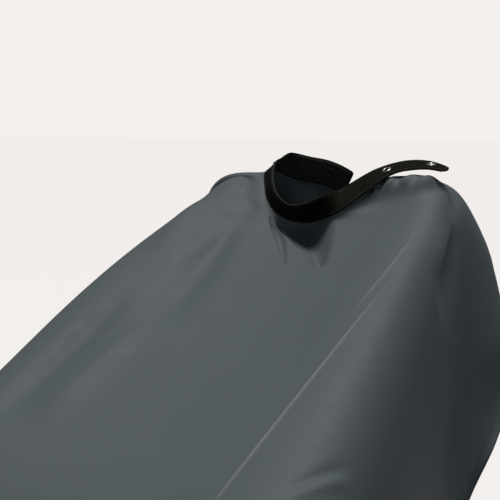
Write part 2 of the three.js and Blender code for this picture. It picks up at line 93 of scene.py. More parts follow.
# The neck seam and then the free tab's lower edge: each point with the step to the band's upper edge.
BAND_ROUTE = [
    [[-8, 114, -36], [17, 0, 34]],
    [[-24, 111, -27], [15, -1, 35]],
    [[-42, 108, -20], [11, -1, 36]],
    [[-65, 104, -16], [6, -1, 37]],
    [[-88, 97, -11], [11, 3, 36]],
    [[-104, 76, 1], [22, 8, 26]],
    [[-105, 46, -1], [28, 0, 22]],
    [[-87, 10, -18], [16, 2, 34]],
    [[-69, -16, -36], [16, -14, 31]],
    [[-46, -36, -50], [15, -23, 26]],
    [[-16, -50, -60], [12, -26, 24]],
    [[18, -60, -60], [7, -24, 28]],
    [[50, -60, -50], [-6, -2, 29]],
    [[70, -53, -38], [-19, 22, 21]],
    [[88, -40, -22], [-20, 27, 18]],
    [[105, -26, -6], [-18, 30, 15]],
    [[124, -11, 7], [-15, 33, 11]],
    [[141, -5, 11], [-10, 35, 11]],
    [[166, -3, 13], [-9, 36, 8]],
    [[191, -3, 10], [-6, 37, 3]],
]
FOLD_AT = 15  # the route's point where the seam ends and the tab begins


def smooth(value, low=0.0, high=1.0):
    """0 below low, 1 above high, and a smooth step between."""
    t = np.clip((value - low) / (high - low), 0, 1)
    return t * t * (3 - 2 * t)


def unit(vectors):
    return vectors / np.maximum(np.linalg.norm(vectors, axis=-1, keepdims=True), 1e-9)


# ---- The band's route ----
def centripetal(points, per_span):
    """A centripetal Catmull-Rom curve through the points, with its ends carried on straight."""
    points = np.array(points, float)
    points = np.vstack([2 * points[0] - points[1], points, 2 * points[-1] - points[-2]])
    share = np.linspace(0, 1, per_span, endpoint=False)[:, None]
    curve = []
    for before, here, there, after in zip(points, points[1:], points[2:], points[3:]):
        spans = ((before, here), (here, there), (there, after))
        first, middle, last = (math.sqrt(np.linalg.norm(b - a)) for a, b in spans)
        leave = (here - before) / first - (there - before) / (first + middle) + (there - here) / middle
        arrive = (there - here) / middle - (after - here) / (middle + last) + (after - there) / last
        leave, arrive = leave * middle, arrive * middle
        bend = -3 * here + 3 * there - 2 * leave - arrive
        twist = 2 * here - 2 * there + leave + arrive
        curve.append(here + leave * share + bend * share**2 + twist * share**3)
    curve.append(points[-2:-1])
    return np.vstack(curve)


ROUTE_STEPS = 40
WAY_STEP = 0.5  # over which the route's direction is taken
lower_curve = centripetal([at for at, _ in BAND_ROUTE], ROUTE_STEPS)
upper_curve = centripetal([np.add(at, lean) for at, lean in BAND_ROUTE], ROUTE_STEPS)
route_lengths = np.concatenate([[0], np.cumsum(np.linalg.norm(np.diff(lower_curve, axis=0), axis=1))])
route_length = route_lengths[-1]
seam_length = route_lengths[ROUTE_STEPS * FOLD_AT]
neck_radius = seam_length / (2 * math.pi)


def along_route(values, distance):
    return np.stack([np.interp(distance, route_lengths, values[:, k]) for k in range(3)], axis=-1)


def band_frames(distance):
    """Point, way along, way up, width and way out of the band's outer face, at distances along the seam."""
    distance = np.atleast_1d(np.asarray(distance, float))
    point = along_route(lower_curve, distance)
    rise = along_route(upper_curve, distance) - point
    width = np.linalg.norm(rise, axis=1)
    up = unit(rise)
    ahead = along_route(lower_curve, np.minimum(distance + WAY_STEP, route_length))
    behind = along_route(lower_curve, np.maximum(distance - WAY_STEP, 0))
    out = unit(np.cross(unit(ahead - behind), up))
    return {"point": point, "along": np.cross(up, out), "up": up, "width": width, "out": out}


def frame_at(distance):
    return {name: value[0] for name, value in band_frames(distance).items()}


# ---- The panel's cut, on a grid of columns round the neck by rows outwards ----
def cut_outline(columns):
    """The flat outline from the back slit's left edge round to its right edge, at even steps."""
    half, corner = CUT_WIDTH / 2, CUT_CORNER
    back, front = CUT_BACK, -CUT_FRONT
    arcs = [
        ((corner - half, back - corner), 90),
        ((corner - half, front + corner), 180),
        ((half - corner, front + corner), 270),
        ((half - corner, back - corner), 0),
    ]
    points = [np.array([[0.0, back]])]
    for (x, y), start in arcs:
        angle = np.radians(start + np.linspace(0, 90, CORNER_STEPS))
        points.append(np.stack([x + corner * np.cos(angle), y + corner * np.sin(angle)], axis=1))
    points.append(np.array([[0.0, back]]))
    points = np.vstack(points)
    length = np.concatenate([[0], np.cumsum(np.linalg.norm(np.diff(points, axis=0), axis=1))])
    even = np.linspace(0, length[-1], columns + 1)
    return np.stack([np.interp(even, length, points[:, k]) for k in (0, 1)], axis=1)


ROW_GROWTH = 1.25


def flat_panel(columns, rows):
    rim = cut_outline(columns)
    neck = unit(rim) * neck_radius
    share = (np.arange(rows + 1) / rows)[:, None, None] ** ROW_GROWTH
    return neck + (rim - neck) * share


def seam_distances(flat):
    """Distance along the neck seam of each column."""
    neck = flat[0]
    distance = (np.arctan2(neck[:, 0], -neck[:, 1]) + math.pi) / (2 * math.pi) * seam_length
    distance[0], distance[-1] = 0, seam_length
    return distance


# ---- The drape ----
TURN = -14  # degrees that the cape lies askew on the chair
RIGHT_SPREAD = 155  # from the front round to the back slit's right edge
LEFT_SPREAD = 172
START_LIFT = 30
START_BLEND = 120
SHELL_HALF = 1.5  # half the thickness that the cloth is settled with
CLEARANCE = SHELL_HALF + 1
GRAVITY_STEP = 1
VELOCITY_KEPT = 0.96
GRIP_KEPT = 0.5
SHEAR_STRENGTH = 0.6
BEND_STRENGTH = 0.25
GATHER_SHARE = 0.5  # of the rows, inside which the cloth gathers instead of buckling
BAND_SHARE = 0.28  # of the rows, which the standing band keeps outside itself
BAND_CLEAR = BAND_THICKNESS / 2 + SHELL_HALF + 1.5
BAND_MARGIN = 5
BAND_SPLAY = 0.5
LYING_SHARE = 0.86  # of the seam, after which the band lies on the cloth
UNDER_SHARE = 0.78
TAB_FRAME_STEP = 7
TAB_CATCH = 25
TAB_CLEAR = BAND_CLEAR + 3.9


def form_height(x, y):
    from_shoulder = (np.abs(x) - SHOULDER_AT) / SHOULDER_HALF
    rise = np.where(x < 0, LEFT_SHOULDER_RISE, RIGHT_SHOULDER_RISE)
    back = rise * np.maximum(0, 1 - from_shoulder**2) - BACKREST_DIP
    forward = -y / ARM_REACH
    front = -ARM_DROP * forward - SAG * np.maximum(0, 1 - (x / SAG_HALF) ** 2) * (1 - SAG_EASE * forward)
    return np.where(y >= 0, back, front)


def push_off_form(points):
    """Moves points out of the chair form, and says which ones moved."""
    x, y, z = points.T
    forward = np.clip(-y / ARM_REACH, 0, 1)
    side = BACKREST_HALF + (ARM_HALF - BACKREST_HALF) * forward - np.abs(x)
    back = BACKREST_DEPTH - y
    front = ARM_REACH + y
    depth = np.minimum(np.minimum(side, back), front) + CLEARANCE
    way_x = np.where((side <= back) & (side <= front), np.sign(x), 0)
    way_y = np.where(way_x != 0, 0, np.where(back <= front, 1, -1))
    corner = EDGE_ROUND + CLEARANCE
    inset = np.clip(corner - depth, 0, corner)
    top = form_height(x, y) + CLEARANCE - (corner - np.sqrt(corner**2 - inset**2))
    sink = top - z
    inside = (depth > 0) & (sink > 0)
    lift = inside & (sink < depth)
    shove = inside & ~lift
    points[:, 2] += np.where(lift, sink, 0)
    points[:, 0] += np.where(shove, way_x * depth, 0)
    points[:, 1] += np.where(shove, way_y * depth, 0)
    return inside


def push_off_band(points, frames):
    """Keeps rows of points next to the seam outside the standing band."""
    apart = points - frames["point"]
    rise = np.sum(apart * frames["up"], axis=-1)
    depth = np.sum(apart * frames["out"], axis=-1)
    lack = BAND_CLEAR + BAND_SPLAY * rise - depth
    near = (rise >= 0) & (rise <= frames["width"] + BAND_MARGIN) & (lack > 0)
    return points + frames["out"] * np.where(near, lack, 0)[..., None]


def turn_under(points, frames):
    """Where the band lies on the cloth, the cloth turns under it straight from the seam."""
    apart = points - frames["point"]
    rise = np.sum(apart * frames["up"], axis=-1, keepdims=True)
    depth = np.sum(apart * frames["out"], axis=-1, keepdims=True)
    points = points + frames["up"] * np.minimum(0, -BAND_MARGIN - rise)
    return points + frames["out"] * np.minimum(0, -BAND_CLEAR - depth)


def push_under_tab(points, frames, clear, catch):
    """Keeps points under the lying band and its tab. points is changed in place."""
    low = frames["point"].min(axis=0) - BAND_WIDTH - BAND_MARGIN
    high = frames["point"].max(axis=0) + BAND_WIDTH + BAND_MARGIN
    near = np.nonzero(np.all((points > low) & (points < high), axis=1))[0]
    if not len(near):
        return
    moved = points[near]
    for k in range(len(clear)):
        apart = moved - frames["point"][k]
        beside = np.abs(apart @ frames["along"][k]) <= TAB_FRAME_STEP
        rise = apart @ frames["up"][k]
        depth = apart @ frames["out"][k]
        under = beside & (rise >= -BAND_MARGIN) & (rise <= frames["width"][k] + BAND_MARGIN)
        under &= (depth <= catch[k]) & (depth > -clear[k])
        moved += np.where(under, -clear[k] - depth, 0)[:, None] * frames["out"][k]
    points[near] = moved


def links_between(flat, low, high, turn, odd, strength, push):
    """Links between two slices of the grid, of one turn only, so that no point is in two links."""
    height, width = flat.shape[:2]
    ids = np.arange(height * width).reshape(height, width)
    (r0, c0), (r1, c1) = low, high
    low_rows, low_columns = np.arange(height - max(r0, r1)), np.arange(width - max(c0, c1))
    rows, columns = np.meshgrid(low_rows, low_columns, indexing="ij")
    keep = turn(rows, columns) == odd
    a = ids[rows[keep] + r0, columns[keep] + c0]
    b = ids[rows[keep] + r1, columns[keep] + c1]
    at = flat.reshape(-1, 2)
    gather = push[rows[keep]]
    pinned_a, pinned_b = a < width, b < width
    free = ~(pinned_a & pinned_b)
    a, b, gather, pinned_a, pinned_b = (v[free] for v in (a, b, gather, pinned_a, pinned_b))
    share = strength / (2 - pinned_a - pinned_b)
    return {
        "a": a,
        "b": b,
        "rest": np.linalg.norm(at[a] - at[b], axis=1),
        "pull": share,
        "push": share * gather,
        "move_a": (~pinned_a).astype(float)[:, None],
        "move_b": (~pinned_b).astype(float)[:, None],
    }


def cloth_links(flat):
    """Links along rows and columns, across the grid's cells, and over two cells against bending."""
    rows = flat.shape[0] - 1
    gather = smooth(np.arange(rows + 1), 0, GATHER_SHARE * rows)
    stiff = np.ones(rows + 1)
    kinds = [  # one end, other end, its turn from row and column, strength, push
        ((0, 0), (0, 1), lambda r, c: c % 2, 1, gather),
        ((0, 0), (1, 0), lambda r, c: r % 2, 1, stiff),
        ((0, 0), (1, 1), lambda r, c: r % 2, SHEAR_STRENGTH, gather),
        ((0, 1), (1, 0), lambda r, c: r % 2, SHEAR_STRENGTH, gather),
        ((0, 0), (0, 2), lambda r, c: c // 2 % 2, BEND_STRENGTH, gather),
        ((0, 0), (2, 0), lambda r, c: r // 2 % 2, BEND_STRENGTH, stiff),
    ]
    return [
        links_between(flat, low, high, turn, odd, strength, push)
        for odd in (0, 1)
        for low, high, turn, strength, push in kinds
    ]


def start_panel(flat):
    distance = seam_distances(flat)
    turned = (distance / seam_length - 0.5) * 2
    angle = np.radians(TURN + turned * np.where(turned < 0, LEFT_SPREAD, RIGHT_SPREAD))
    heading = np.stack([np.sin(angle), -np.cos(angle), np.zeros_like(angle)], axis=1)
    run = np.linalg.norm(flat, axis=2, keepdims=True) - neck_radius
    seam = band_frames(distance)["point"]
    points = seam + heading * run
    height = START_LIFT + ARM_DROP / ARM_REACH * np.minimum(0, points[..., 1])
    blend = smooth(run[..., 0], 0, START_BLEND)
    points[..., 2] = seam[:, 2] * (1 - blend) + height * blend
    return points


def settle(points, flat, steps, passes, gravity):
    """Lets the grid of cloth come to rest on the chair form, pinned along the neck seam."""
    rows, columns = flat.shape[0] - 1, flat.shape[1] - 1
    distance = seam_distances(flat)
    frames = band_frames(distance)
    lying = distance > LYING_SHARE * seam_length
    standing_frames = {name: value[~lying] for name, value in frames.items()}
    lying_frames = {name: value[lying] for name, value in frames.items()}
    tab_distances = np.arange(UNDER_SHARE * seam_length, route_length, TAB_FRAME_STEP)
    tab_frames = band_frames(tab_distances)
    on_tab = tab_distances > seam_length - TAB_FRAME_STEP
    clear = np.where(on_tab, TAB_CLEAR, BAND_CLEAR)
    catch = np.where(on_tab, TAB_CATCH, 0)
    band_rows = 1 + round(BAND_SHARE * rows)
    links = cloth_links(flat)
    pinned = columns + 1
    at = points.reshape(-1, 3).copy()
    before = at.copy()
    for _ in range(steps):
        move = (at[pinned:] - before[pinned:]) * VELOCITY_KEPT
        before[pinned:] = at[pinned:]
        at[pinned:] += move
        at[pinned:, 2] -= gravity
        for _ in range(passes):
            for link in links:
                a, b = link["a"], link["b"]
                apart = at[b] - at[a]
                length = np.sqrt(np.einsum("ij,ij->i", apart, apart))
                stretch = length - link["rest"]
                strength = np.where(stretch > 0, link["pull"], link["push"])
                apart *= (strength * stretch / np.maximum(length, 1e-9))[:, None]
                at[a] += apart * link["move_a"]
                at[b] -= apart * link["move_b"]
        grid = at.reshape(rows + 1, columns + 1, 3)
        grid[1:band_rows, ~lying] = push_off_band(grid[1:band_rows, ~lying], standing_frames)
        grid[1, lying] = turn_under(grid[1, lying], lying_frames)
        at = grid.reshape(-1, 3)
        free = at[pinned:]
        push_under_tab(free, tab_frames, clear, catch)
        touching = push_off_form(free)
        at[pinned:] = free
        before[pinned:][touching] += (free[touching] - before[pinned:][touching]) * (1 - GRIP_KEPT)
    return at.reshape(rows + 1, columns + 1, 3)


def refine(values, factor, axis):
    """More points between a grid's points along one axis, on a smooth curve through them."""
    values = np.moveaxis(values, axis, 0)
    padded = np.concatenate([2 * values[:1] - values[1:2], values, 2 * values[-1:] - values[-2:-1]])
    before, here, there, after = padded[:-3], padded[1:-2], padded[2:-1], padded[3:]
    spans = []
    for k in range(factor):
        t = k / factor
        slope_here, slope_there = (there - before) / 2, (after - here) / 2
        spans.append(
            here * (2 * t**3 - 3 * t**2 + 1)
            + slope_here * (t**3 - 2 * t**2 + t)
            + there * (3 * t**2 - 2 * t**3)
            + slope_there * (t**3 - t**2)
        )
    fine = np.stack(spans, axis=1).reshape(-1, *values.shape[1:])
    fine = np.concatenate([fine, values[-1:]])
    return np.moveaxis(fine, 0, axis)


# ---- Making meshes ----
def add_mesh(name, points, faces, material, smooth_shaded=True):
    """An object from points in millimetres, with its faces pointing as they are wound."""
    mesh = bpy.data.meshes.new(name)
    mesh.from_pydata((np.asarray(points, float).reshape(-1, 3) * MM).tolist(), [], faces)
    mesh.polygons.foreach_set("use_smooth", [smooth_shaded] * len(mesh.polygons))
    mesh.materials.append(material)
    mesh.update()
    obj = bpy.data.objects.new(name, mesh)
    bpy.context.scene.collection.objects.link(obj)
    return obj


def add_uv(obj, flat):
    """Gives each vertex its place in the flat material, in metres, as the piece's UV map."""
    layer = obj.data.uv_layers.new(name="flat")
    corners = np.empty(len(obj.data.loops), int)
    obj.data.loops.foreach_get("vertex_index", corners)
    layer.data.foreach_set("uv", (np.asarray(flat, float)[corners] * MM).ravel())


def add_attribute(obj, name, values):
    attribute = obj.data.attributes.new(name, "FLOAT", "POINT")
    attribute.data.foreach_set("value", np.asarray(values, np.float32).ravel())


def grid_faces(rows, columns, closed=False):
    """Quads of a grid of rows by columns; closed joins the last column to the first."""
    faces = []
    for row in range(rows - 1):
        for column in range(columns if closed else columns - 1):
            there = (column + 1) % columns
            a, b = row * columns + column, row * columns + there
            faces.append((a, a + columns, b + columns, b))
    return faces


def grid_normals(points):
    down = np.gradient(points, axis=0)
    across = np.gradient(points, axis=1)
    return unit(np.cross(down, across))


# ---- Materials ----
# Colours, each from its darker to its paler shade.
NYLON = (0.068, 0.082, 0.084, 1), (0.086, 0.102, 0.104, 1)
# Painted highlight, laid along the press creases.
NYLON_CREASE_HIGHLIGHT = (0.24, 0.26, 0.26, 1)
LEATHERETTE = (0.0045, 0.0042, 0.0028, 1), (0.010, 0.0093, 0.006, 1)
# Painted highlight along the band's top edge.
LEATHERETTE_EDGE_HIGHLIGHT = (0.085, 0.080, 0.058, 1)
LINING = (0.0035, 0.0035, 0.0035, 1), (0.009, 0.009, 0.009, 1)
ENAMEL = (0.003, 0.003, 0.003, 1), (0.008, 0.008, 0.008, 1)
THREAD = (0.018, 0.018, 0.016, 1), (0.05, 0.05, 0.045, 1)
FLOOR = (0.880, 0.836, 0.800, 1), (0.886, 0.842, 0.806, 1)
NICKEL = (0.56, 0.54, 0.50, 1)
SPRING_STEEL = (0.5, 0.5, 0.49, 1)
METAL_SHADE = 0.82  # a metal's tarnished shade, as a share of its colour
METAL_ROUGHNESS = 0.16
NYLON_WEAVE = 0.0009  # metres from thread to thread
LINING_WEAVE = 0.0008


class Nodes:
    """A material's node tree, with one short call for each node."""

    def __init__(self, name):
        self.material = bpy.data.materials.new(name)
        self.material.use_nodes = True
        self.tree = self.material.node_tree
        self.shader = self.tree.nodes["Principled BSDF"]
        self.place = self.add("TexCoord").outputs["Object"]

    def link(self, source, target):
        self.tree.links.new(source, target)

    def add(self, kind, inputs=None, **settings):
        node = self.tree.nodes.new("ShaderNode" + kind)
        for name, value in settings.items():
            setattr(node, name, value)
        for name, value in (inputs or {}).items():
            if isinstance(value, bpy.types.NodeSocket):
                self.link(value, node.inputs[name])
            else:
                node.inputs[name].default_value = value
        return node

    def scaled(self, source, scale):
        return self.add("Mapping", {"Vector": source, "Scale": scale}).outputs["Vector"]

    def noise(self, vector, scale, detail=3.0, roughness=0.5):
        sizes = {"Vector": vector, "Scale": scale, "Detail": detail, "Roughness": roughness}
        return self.add("TexNoise", sizes).outputs["Fac"]

    def math(self, operation, a, b):
        return self.add("Math", {0: a, 1: b}, operation=operation).outputs["Value"]

    def between(self, factor, low, high):
        """A value from low to high as factor goes from 0 to 1."""
        sizes = {"Value": factor, "To Min": low, "To Max": high}
        return self.add("MapRange", sizes).outputs["Result"]

    def mix_colour(self, factor, low, high):
        node = self.add("Mix", data_type="RGBA")
        for index, value in ((0, factor), (6, low), (7, high)):
            if isinstance(value, bpy.types.NodeSocket):
                self.link(value, node.inputs[index])
            else:
                node.inputs[index].default_value = value
        return node.outputs[2]

    def bump(self, height, distance, strength=1.0, normal=None):
        node = self.add("Bump", {"Height": height, "Distance": distance, "Strength": strength})
        if normal:
            self.link(normal, node.inputs["Normal"])
        return node.outputs["Normal"]

    def set(self, **values):
        for name, value in values.items():
            socket = self.shader.inputs[name.replace("_", " ")]
            if isinstance(value, bpy.types.NodeSocket):
                self.link(value, socket)
            else:
                socket.default_value = value


def weave_height(nodes, uv, pitch):
    """Warp and weft of a plain weave, high where a thread passes over."""
    sizes = {"Vector": uv, "Scale": 1 / (math.pi * pitch)}
    threads = [nodes.add("TexWave", sizes, bands_direction=way).outputs["Fac"] for way in ("X", "Y")]
    return nodes.math("MULTIPLY", *threads)


def nylon_material():
    nodes = Nodes("coated_nylon")
    uv = nodes.add("UVMap", uv_map="flat").outputs["UV"]
    cloud = nodes.noise(nodes.place, 5.0, 4.0, 0.55)
    streak = nodes.noise(nodes.scaled(uv, (220, 14, 1)), 1.0, 3.0, 0.6)
    tone = nodes.math("ADD", nodes.between(cloud, 0.0, 0.7), nodes.between(streak, 0.0, 0.3))
    # A painted highlight along the press creases.
    painted_highlight = nodes.add("Attribute", attribute_name="crease_highlight").outputs["Fac"]
    nodes.set(
        Base_Color=nodes.mix_colour(painted_highlight, nodes.mix_colour(tone, *NYLON), NYLON_CREASE_HIGHLIGHT),
        Roughness=nodes.between(nodes.noise(nodes.place, 60.0, 4.0), 0.56, 0.68),
        Specular_IOR_Level=0.25,
        Sheen_Weight=0.05,
    )
    weave = nodes.bump(weave_height(nodes, uv, NYLON_WEAVE), 0.00003, 0.5)
    crumple = nodes.bump(nodes.noise(nodes.place, 38.0, 5.0, 0.55), 0.0006, 0.35, weave)
    nodes.set(Normal=crumple)
    return nodes.material


def leatherette_material():
    nodes = Nodes("leatherette")
    # A painted highlight along the band's top edge, broken up by noise.
    highlight = nodes.add("Attribute", attribute_name="edge_highlight").outputs["Fac"]
    painted_highlight = nodes.math("MULTIPLY", highlight, nodes.between(nodes.noise(nodes.place, 160.0, 4.0), 0.4, 1.3))
    cells = nodes.add("TexVoronoi", {"Vector": nodes.place, "Scale": 900.0}).outputs["Distance"]
    pores = nodes.noise(nodes.place, 420.0, 4.0, 0.6)
    base = nodes.mix_colour(nodes.noise(nodes.place, 30.0, 3.0), *LEATHERETTE)
    nodes.set(
        Base_Color=nodes.mix_colour(painted_highlight, base, LEATHERETTE_EDGE_HIGHLIGHT),
        Roughness=nodes.between(pores, 0.6, 0.75),
        Specular_IOR_Level=0.03,
        Normal=nodes.bump(pores, 0.00012, 0.4, nodes.bump(cells, 0.00012, 0.5)),
    )
    return nodes.material


def lining_material():
    nodes = Nodes("lining")
    uv = nodes.add("UVMap", uv_map="flat").outputs["UV"]
    nodes.set(
        Base_Color=nodes.mix_colour(nodes.noise(nodes.place, 90.0, 3.0), *LINING),
        Roughness=0.72,
        Normal=nodes.bump(weave_height(nodes, uv, LINING_WEAVE), 0.00006, 0.7),
    )
    return nodes.material


def metal_material(name, colour, scratched):
    nodes = Nodes(name)
    fine = nodes.noise(nodes.place, 900.0, 4.0)
    tarnished = tuple(METAL_SHADE * c for c in colour[:3]) + (1,)
    nodes.set(
        Base_Color=nodes.mix_colour(nodes.noise(nodes.place, 260.0, 2.0), colour, tarnished),
        Metallic=1.0,
        Roughness=nodes.between(fine, METAL_ROUGHNESS, METAL_ROUGHNESS + scratched),
        Normal=nodes.bump(fine, 0.00002, 0.3),
    )
    return nodes.material


def enamel_material():
    nodes = Nodes("black_enamel")
    fine = nodes.noise(nodes.place, 700.0, 3.0)
    nodes.set(
        Base_Color=nodes.mix_colour(fine, *ENAMEL),
        Roughness=nodes.between(fine, 0.4, 0.6),
        Specular_IOR_Level=0.3,
    )
    return nodes.material


def thread_material():
    nodes = Nodes("thread")
    sizes = {"Vector": nodes.place, "Scale": 900.0, "Distortion": 2.0}
    ply = nodes.add("TexWave", sizes, bands_direction="DIAGONAL").outputs["Fac"]
    nodes.set(
        Base_Color=nodes.mix_colour(ply, *THREAD),
        Roughness=0.6,
        Normal=nodes.bump(ply, 0.00008, 0.6),
    )
    return nodes.material


nylon = nylon_material()
leatherette = leatherette_material()
lining = lining_material()
nickel = metal_material("nickel", NICKEL, 0.22)
spring_steel = metal_material("spring_steel", SPRING_STEEL, 0.3)
enamel = enamel_material()
thread = thread_material()


# ---- Threads ----
THREAD_RADIUS = 0.32
THREAD_SIDES = 6
STITCH_POINTS = 5
STITCH_RISE = 0.5  # of the thread's width, at the stitch's middle
STITCH_DIP = 0.15  # of the thread's width, at the stitch's ends
STITCH_THIN = 0.45  # of the thread's radius, lost at the stitch's ends


def stitch_row(path, normals, pitch, length):
    """Points and faces of a row of stitches along a path, each dipping into the cloth at its ends."""
    run = np.concatenate([[0], np.cumsum(np.linalg.norm(np.diff(path, axis=0), axis=1))])
    starts = np.arange(pitch / 2, run[-1] - length, pitch)
    share = np.linspace(0, 1, STITCH_POINTS)
    at = starts[:, None] + share * length
    centre = np.stack([np.interp(at, run, path[:, k]) for k in range(3)], axis=-1)
    way_out = unit(np.stack([np.interp(at, run, normals[:, k]) for k in range(3)], axis=-1))
    along = unit(centre[:, -1:] - centre[:, :1]) * np.ones((1, len(share), 1))
    side = np.cross(way_out, along)
    arch = np.sin(math.pi * share)
    hump = (arch * STITCH_RISE - STITCH_DIP)[None, :, None] * THREAD_RADIUS * 2
    radius = THREAD_RADIUS * (1 - STITCH_THIN * (1 - arch))[None, :, None, None]
    angle = np.linspace(0, 2 * math.pi, THREAD_SIDES, endpoint=False)[None, None, :, None]
    rings = (centre + way_out * hump)[:, :, None, :] + radius * (
        np.cos(angle) * way_out[:, :, None, :] + np.sin(angle) * side[:, :, None, :]
    )
    faces = []
    one = grid_faces(len(share), THREAD_SIDES, closed=True)
    per_stitch = len(share) * THREAD_SIDES
    for k in range(len(starts)):
        base = k * per_stitch
        faces += [tuple(base + v for v in face) for face in one]
        faces.append(tuple(base + v for v in range(THREAD_SIDES)))
        faces.append(tuple(base + per_stitch - 1 - v for v in range(THREAD_SIDES)))
    return rings.reshape(-1, 3), faces


def add_stitches(name, rows, material):
    """One object from several rows of stitches, each (path, normals, pitch, length)."""
    points, faces = [], []
    for row in rows:
        more, more_faces = stitch_row(*row)
        base = sum(len(p) for p in points)
        points.append(more)
        faces += [tuple(base + v for v in face) for face in more_faces]
    return add_mesh(name, np.vstack(points), faces, material)


# ---- The panel ----
COARSE_COLUMNS, COARSE_ROWS = 64, 18
SIM_FACTOR = 4
DETAIL_FACTOR = 2
DRAPE_STEPS, DRAPE_PASSES = 700, 12
FINE_STEPS, FINE_PASSES, FINE_GRAVITY = 30, 8, 0.3
SMOOTHING_PASSES = 24
SMOOTHING = 0.8
NECK_SMOOTHING_PASSES = 60
NECK_ROWS = 26  # of the finer drape, over which its gathers are smoothed


def smoothed(points, passes, weight):
    """Relaxes a grid of points, all but its free edges, each by its own weight."""
    points = points.copy()
    for _ in range(passes):
        middle = (points[:-2, 1:-1] + points[2:, 1:-1] + points[1:-1, :-2] + points[1:-1, 2:]) / 4
        points[1:-1, 1:-1] += (middle - points[1:-1, 1:-1]) * weight[1:-1, 1:-1, None]
    return points


def draped_panel():
    """The panel settled on the chair form: a coarse drape from the flat cut, and a finer one from that."""
    coarse = flat_panel(COARSE_COLUMNS, COARSE_ROWS)
    steps, fine_steps = ((DRAPE_STEPS, FINE_STEPS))
    points = settle(start_panel(coarse), coarse, steps, DRAPE_PASSES, GRAVITY_STEP)
    fine = flat_panel(COARSE_COLUMNS * SIM_FACTOR, COARSE_ROWS * SIM_FACTOR)
    points = refine(refine(points, SIM_FACTOR, 0), SIM_FACTOR, 1)
    points[0] = band_frames(seam_distances(fine))["point"]
    points = settle(points, fine, fine_steps, FINE_PASSES, FINE_GRAVITY)
    row = np.arange(points.shape[0])[:, None] * np.ones((1, points.shape[1]))
    points = smoothed(points, NECK_SMOOTHING_PASSES, 1 - smooth(row, 0, NECK_ROWS))
    return smoothed(points, SMOOTHING_PASSES, np.full(row.shape, SMOOTHING))


def rim_angles(columns):
    """The angle of each column of the flat panel, from the slit's left edge round to its right one."""
    rim = cut_outline(columns)
    angle = np.arctan2(rim[:, 0], -rim[:, 1])
    angle[0], angle[-1] = -math.pi, math.pi
    return angle


def grid_place(flat, rows, columns):
    """Row and column, in parts, of points of the flat panel."""
    angle = np.arctan2(flat[:, 0], -flat[:, 1])
    column = np.interp(angle, rim_angles(columns), np.arange(columns + 1))
    rim = cut_outline(columns)
    base = np.clip(column.astype(int), 0, columns - 1)
    along = rim[base + 1] - rim[base]
    way = unit(flat)
    start_crossing = rim[base, 0] * along[:, 1] - rim[base, 1] * along[:, 0]
    reach = start_crossing / (way[:, 0] * along[:, 1] - way[:, 1] * along[:, 0])
    share = np.clip((np.linalg.norm(flat, axis=1) - neck_radius) / (reach - neck_radius), 0, 1)
    return share ** (1 / ROW_GROWTH) * rows, column


def sample_grid(grid, row, column):
    """Values of a grid at places between its points, on smooth curves through them."""
    padded = np.pad(grid, ((1, 1), (1, 1), (0, 0)), mode="reflect", reflect_type="odd")
    rows, columns = grid.shape[0] - 1, grid.shape[1] - 1
    r0 = np.clip(row.astype(int), 0, rows - 1)
    c0 = np.clip(column.astype(int), 0, columns - 1)

    def weights(t):
        return np.stack([
            (-t + 2 * t**2 - t**3) / 2,
            (2 - 5 * t**2 + 3 * t**3) / 2,
            (t + 4 * t**2 - 3 * t**3) / 2,
            (-(t**2) + t**3) / 2,
        ])

    row_weights, column_weights = weights(row - r0), weights(column - c0)
    value = np.zeros((len(row), grid.shape[2]))
    for i in range(4):
        for j in range(4):
            value += padded[r0 + i, c0 + j] * (row_weights[i] * column_weights[j])[:, None]
    return value


SLIT_HALF = 0.01  # keeps the back slit's two edges apart on the flat panel
CUT_REACH = 12  # beside a cut, inside which it splits faces
CUT_MARGIN = 0.05  # of a cut's length, past its ends
CUT_MERGE = 0.05


def flat_mesh(columns, rows, cuts):
    """The flat panel's points and faces, with edges added along cuts: each a line and its distances."""
    flat = flat_panel(columns, rows)
    flat[:, 0, 0] = -SLIT_HALF
    flat[:, -1, 0] = SLIT_HALF
    mesh = bmesh.new()
    points = [mesh.verts.new((x, y, 0)) for x, y in flat.reshape(-1, 2)]
    for face in grid_faces(rows + 1, columns + 1):
        mesh.faces.new([points[k] for k in face])
    for (start, end), offsets in cuts:
        start, end = Vector((*start, 0)), Vector((*end, 0))
        across = (end - start).normalized().cross(Vector((0, 0, 1)))
        for offset in offsets:
            near = []
            for face in mesh.faces:
                middle = face.calc_center_median()
                share = (middle - start).dot(end - start) / (end - start).length_squared
                beside = abs((middle - start).dot(across) - offset)
                if -CUT_MARGIN < share < 1 + CUT_MARGIN and beside < CUT_REACH:
                    near.append(face)
            edges = {edge for face in near for edge in face.edges}
            corners = {corner for face in near for corner in face.verts}
            geometry = near + list(edges) + list(corners)
            at = start + across * offset
            bmesh.ops.bisect_plane(mesh, geom=geometry, dist=CUT_MERGE, plane_co=at, plane_no=across)
    mesh.verts.index_update()
    flat = np.array([v.co[:2] for v in mesh.verts])
    faces = [tuple(v.index for v in face.verts) for face in mesh.faces]
    mesh.free()
    return flat, faces


# Folds that the drape is too coarse to make, each along a line on the flat panel.
PRESS_CREASES = [  # line, height, half-width
    ([(205, 108), (355, -27)], 0.7, 1.6),
    ([(292, 48), (630, -247)], 1.2, 1.4),
]
SOFT_FOLDS = [  # line, height, half-width at its start and at its end
    ([(-170, -70), (-50, -190)], 7, 45, 60),
    ([(0, -75), (40, -125)], -6, 14, 26),
    ([(-75, -75), (10, -105)], -6, 10, 18),
    ([(20, -92), (270, -262)], -8, 14, 26),
    ([(-60, -150), (150, -235)], 5, 18, 28),
    ([(170, -262), (390, -452)], -8, 14, 18),
    ([(230, -250), (400, -400)], 6, 12, 22),
    ([(60, 190), (330, 160)], -12, 8, 34),
    ([(70, 210), (330, 400)], 15, 20, 50),
    ([(110, 205), (300, 120)], 6, 12, 26),
    ([(614, -155), (584, -45)], 3, 5, 7),
    ([(600, -145), (570, -45)], -3, 5, 7),
]
